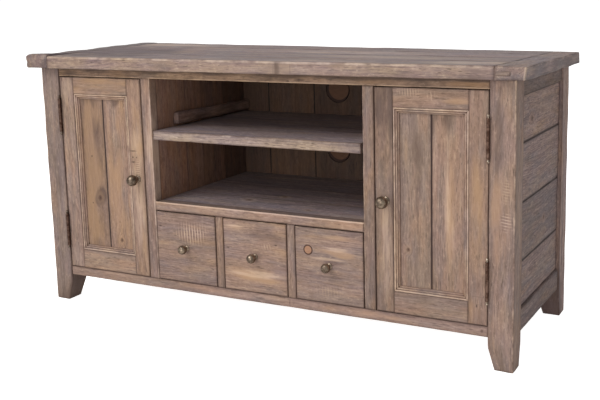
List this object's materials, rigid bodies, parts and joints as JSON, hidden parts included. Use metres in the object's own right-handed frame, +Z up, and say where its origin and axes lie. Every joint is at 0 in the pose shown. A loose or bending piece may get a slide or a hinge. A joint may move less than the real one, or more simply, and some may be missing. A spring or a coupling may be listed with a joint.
{
  "type": "tv unit",
  "caption": "Low weathered wood tv unit with a planked top, square posts, framed doors at both sides, an open compartment with a loose shelf and drawers under it.",
  "frame": {"origin": "middle of the base of the overall box, on the floor", "axes": "+Z up, fronts of doors and drawers face -Y, +X to the right as seen from the front"},
  "size_m": [1.4, 0.5148, 0.697],
  "materials": {
    "top_wood": "weathered, waxed",
    "frame_wood": "weathered, waxed",
    "side_wood": "weathered, waxed",
    "door_wood": "weathered, waxed",
    "moulding_wood": "weathered, waxed",
    "drawer_wood": "weathered, waxed",
    "inside_wood": "rough, matt",
    "back_wood": "rough, matt",
    "shelf_wood": "weathered, waxed",
    "bronze": "antique bronze",
    "steel": "aged"
  },
  "bodies": {
    "carcass": {"top_planks": "top_wood", "breadboard_left": "top_wood", "breadboard_right": "top_wood", "front_post_left": "frame_wood", "front_post_right": "frame_wood", "rear_post_left": "side_wood", "rear_post_right": "side_wood", "top_rail": "frame_wood", "mid_rail": "frame_wood", "bottom_rail": "frame_wood", "inner_stile_left": "frame_wood", "inner_stile_right": "frame_wood", "drawer_dividers": "frame_wood", "side_rails_left": "side_wood", "side_rails_right": "side_wood", "side_boards_left": "side_wood", "side_boards_right": "side_wood", "back_rails": "inside_wood", "back_boards": "back_wood", "back_screws": "steel", "partition_left": "inside_wood", "partition_right": "inside_wood", "wall_battens": "inside_wood", "shelf_cleats": "inside_wood", "cupboard_shelves": "inside_wood", "centre_floor": "inside_wood", "bottom_boards": "inside_wood", "drawer_guides": "inside_wood", "door_catches": "inside_wood", "post_hinge_leaves": "bronze", "hinge_pins": "bronze"},
    "door_left": {"door_left_hinge_stile": "door_wood", "door_left_knob_stile": "door_wood", "door_left_rails": "door_wood", "door_left_panel": "door_wood", "door_left_moulding": "moulding_wood", "door_left_knob": "bronze", "door_left_hinge_leaves": "bronze"},
    "door_right": {"door_right_hinge_stile": "door_wood", "door_right_knob_stile": "door_wood", "door_right_rails": "door_wood", "door_right_panel": "door_wood", "door_right_moulding": "moulding_wood", "door_right_knob": "bronze", "door_right_hinge_leaves": "bronze"},
    "drawer_1": {"drawer_1_front": "drawer_wood", "drawer_1_box": "inside_wood", "drawer_1_bottom": "inside_wood", "drawer_1_knob": "bronze"},
    "drawer_2": {"drawer_2_front": "drawer_wood", "drawer_2_box": "inside_wood", "drawer_2_bottom": "inside_wood", "drawer_2_knob": "bronze"},
    "drawer_3": {"drawer_3_front": "drawer_wood", "drawer_3_box": "inside_wood", "drawer_3_bottom": "inside_wood", "drawer_3_knob": "bronze"},
    "loose_shelf": {"loose_shelf": "shelf_wood"},
    "cable_plug_upper": {"cable_plug_upper": "back_wood"},
    "cable_plug_lower": {"cable_plug_lower": "back_wood"}
  },
  "joints": [
    {"name": "door_left_hinge", "type": "hinge", "parent": "carcass", "child": "door_left", "pos_m": [-0.614, -0.22393, 0.372], "axis": [0, 0, -1], "range_deg": [0, 170]},
    {"name": "door_right_hinge", "type": "hinge", "parent": "carcass", "child": "door_right", "pos_m": [0.614, -0.22393, 0.372], "axis": [0, 0, 1], "range_deg": [0, 170]},
    {"name": "drawer_1_slide", "type": "slide", "parent": "carcass", "child": "drawer_1", "axis": [0, -1, 0], "range_m": [0, 0.3]},
    {"name": "drawer_2_slide", "type": "slide", "parent": "carcass", "child": "drawer_2", "axis": [0, -1, 0], "range_m": [0, 0.3]},
    {"name": "drawer_3_slide", "type": "slide", "parent": "carcass", "child": "drawer_3", "axis": [0, -1, 0], "range_m": [0, 0.3]},
    {"name": "loose_shelf_slide", "type": "slide", "parent": "carcass", "child": "loose_shelf", "axis": [0, -1, 0], "range_m": [0, 0.3]},
    {"name": "cable_plug_upper_slide", "type": "slide", "parent": "carcass", "child": "cable_plug_upper", "axis": [0, 1, 0], "range_m": [0, 0.03]},
    {"name": "cable_plug_lower_slide", "type": "slide", "parent": "carcass", "child": "cable_plug_lower", "axis": [0, 1, 0], "range_m": [0, 0.03]}
  ]
}
